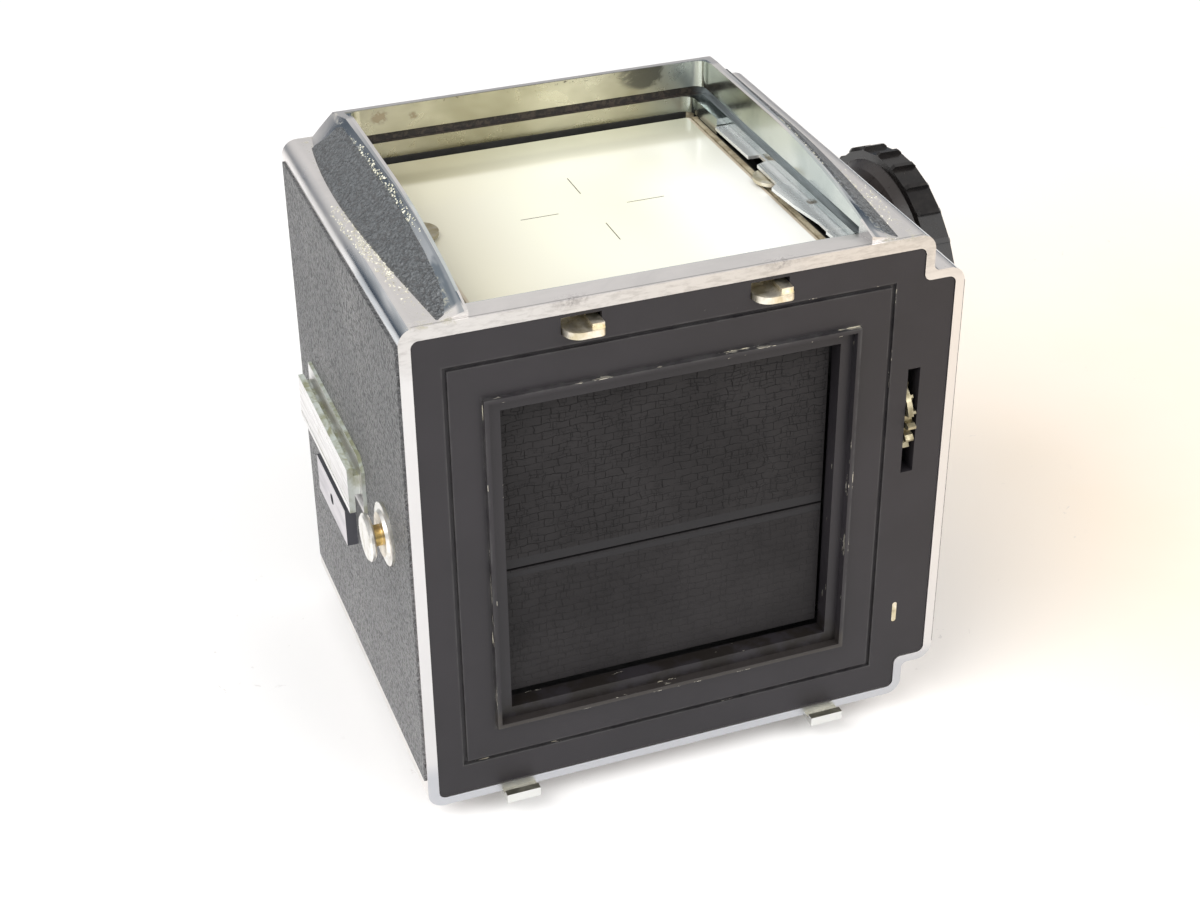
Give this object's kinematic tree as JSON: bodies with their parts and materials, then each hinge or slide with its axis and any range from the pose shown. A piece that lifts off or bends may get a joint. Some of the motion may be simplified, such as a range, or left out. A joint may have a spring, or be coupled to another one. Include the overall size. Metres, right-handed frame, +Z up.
{
  "type": "medium format film camera",
  "caption": "Square reflex camera body with leather sides, open finder bay over a focusing screen, light-trap flaps at the rear and a winding knob.",
  "frame": {"origin": "centre of the large tripod socket, at its mouth in the plane the camera stands on", "axes": "+Z up, -Y towards the lens, +Y towards the film magazine, +X towards the operator's left"},
  "size_m": [0.1092, 0.0765, 0.097],
  "materials": {
    "shell_metal": "satin, worn",
    "black_plate": "matt",
    "leather": "pebbled",
    "flap_cloth": "crinkled",
    "inner_black": "matt",
    "nickel": "satin",
    "screen_glass": "ground",
    "mirror_glass": "polished",
    "knob_black": "gloss",
    "bright_chrome": "polished",
    "steel": "turned",
    "brass": "cut"
  },
  "bodies": {
    "chassis": {"accessory_rail": "nickel", "bevel_bracket": "inner_black", "body_shell": "shell_metal", "finder_spring": "nickel", "flange_screw_1": "bright_chrome", "flange_screw_2": "bright_chrome", "flange_screw_3": "bright_chrome", "flange_screw_4": "bright_chrome", "focusing_screen": "screen_glass", "foot_plate": "nickel", "foot_screw_front": "bright_chrome", "foot_screw_rear": "bright_chrome", "front_leather": "leather", "front_plate": "inner_black", "gear_plate": "inner_black", "hook_left": "nickel", "hook_right": "nickel", "knob_bearing": "bright_chrome", "lens_flange": "bright_chrome", "lower_flap_pin": "steel", "lug_left": "nickel", "lug_right": "nickel", "mirror_box": "inner_black", "mirror_pin": "steel", "rail_leather_left": "leather", "rail_leather_right": "leather", "rail_stop_plate": "shell_metal", "rear_plate": "black_plate", "release_collar": "bright_chrome", "screen_frame": "inner_black", "side_leather_left": "leather", "side_leather_right": "leather", "strap_stud_left": "nickel", "strap_stud_right": "nickel", "throat_baffle": "inner_black", "upper_flap_pin": "steel"},
    "mirror_flip": {"mirror": "mirror_glass", "mirror_carrier": "inner_black"},
    "flap_top": {"upper_flap": "flap_cloth"},
    "flap_bottom": {"lower_flap": "flap_cloth"},
    "winding": {"winding_knob": "knob_black", "knob_cap": "bright_chrome", "winding_shaft": "steel", "winding_gear": "steel"},
    "idler": {"idler_gear": "steel"},
    "magazine_drive": {"magazine_wheel": "steel"},
    "small_idler": {"cocking_idler": "steel"},
    "cross": {"cross_shaft": "steel", "cocking_gear": "steel", "cross_bevel": "brass"},
    "cocking": {"cocking_bevel": "brass", "cocking_shaft": "steel"},
    "lens_release": {"lens_release_button": "bright_chrome", "lens_lock_arm": "steel"},
    "shutter_button": {"release_button": "bright_chrome"},
    "side_lever": {"prerelease_lever": "nickel"},
    "signal": {"interlock_pin": "nickel"},
    "clip_left": {"screen_clip_left": "nickel"},
    "clip_right": {"screen_clip_right": "nickel"}
  },
  "joints": [
    {"name": "mirror_lift", "type": "hinge", "parent": "chassis", "child": "mirror_flip", "pos_m": [0, 0.04, 0.08145], "axis": [-1, 0, 0], "range_deg": [0, 45]},
    {"name": "upper_flap_swing", "type": "hinge", "parent": "chassis", "child": "flap_top", "pos_m": [0, 0.0408, 0.0736], "axis": [-1, 0, 0], "range_deg": [0, 88]},
    {"name": "lower_flap_swing", "type": "hinge", "parent": "chassis", "child": "flap_bottom", "pos_m": [0, 0.0408, 0.0222], "axis": [1, 0, 0], "range_deg": [0, 88]},
    {"name": "knob_turn", "type": "hinge", "parent": "chassis", "child": "winding", "pos_m": [-0.056, -0.0036, 0.0572], "axis": [1, 0, 0], "continuous": true},
    {"name": "idler_turn", "type": "hinge", "parent": "chassis", "child": "idler", "pos_m": [-0.042, 0.02296, 0.05532], "axis": [1, 0, 0], "continuous": true},
    {"name": "magazine_wheel_turn", "type": "hinge", "parent": "chassis", "child": "magazine_drive", "pos_m": [-0.0399, 0.04, 0.058], "axis": [1, 0, 0], "continuous": true},
    {"name": "cocking_idler_turn", "type": "hinge", "parent": "chassis", "child": "small_idler", "pos_m": [-0.0435, 0.00296, 0.03725], "axis": [1, 0, 0], "continuous": true},
    {"name": "cross_shaft_turn", "type": "hinge", "parent": "chassis", "child": "cross", "pos_m": [-0.03, -0.0036, 0.0246], "axis": [1, 0, 0], "continuous": true},
    {"name": "cocking_shaft_turn", "type": "hinge", "parent": "chassis", "child": "cocking", "pos_m": [-0.013, -0.015, 0.0246], "axis": [0, 1, 0], "continuous": true},
    {"name": "lens_release_push", "type": "slide", "parent": "chassis", "child": "lens_release", "axis": [0, 1, 0], "range_m": [0, 0.0022], "stiffness_N_per_m": 300, "springref_m": -0.003},
    {"name": "shutter_release_push", "type": "slide", "parent": "chassis", "child": "shutter_button", "axis": [0, 1, 0], "range_m": [0, 0.0026], "stiffness_N_per_m": 350, "springref_m": -0.003},
    {"name": "side_lever_swing", "type": "hinge", "parent": "chassis", "child": "side_lever", "pos_m": [-0.0485, 0.014, 0.0342], "axis": [-1, 0, 0], "range_deg": [0, 25], "stiffness_Nm_per_rad": 0.01, "springref_deg": -14.32},
    {"name": "signal_pin_push", "type": "slide", "parent": "chassis", "child": "signal", "axis": [0, -1, 0], "range_m": [0, 0.0012], "stiffness_N_per_m": 100, "springref_m": -0.002},
    {"name": "clip_left_slide", "type": "slide", "parent": "chassis", "child": "clip_left", "axis": [1, 0, 0], "range_m": [0, 0.0016]},
    {"name": "clip_right_slide", "type": "slide", "parent": "chassis", "child": "clip_right", "axis": [1, 0, 0], "range_m": [0, 0.0016]}
  ],
  "couplings": [
    {"joint": "upper_flap_swing", "follows": "mirror_lift", "ratio": 1.9556},
    {"joint": "lower_flap_swing", "follows": "mirror_lift", "ratio": 1.9556},
    {"joint": "idler_turn", "follows": "knob_turn", "ratio": -1.4483},
    {"joint": "magazine_wheel_turn", "follows": "knob_turn", "ratio": 2.4706},
    {"joint": "cocking_idler_turn", "follows": "knob_turn", "ratio": -3},
    {"joint": "cross_shaft_turn", "follows": "knob_turn", "ratio": 1.75},
    {"joint": "cocking_shaft_turn", "follows": "knob_turn", "ratio": -1.75}
  ]
}
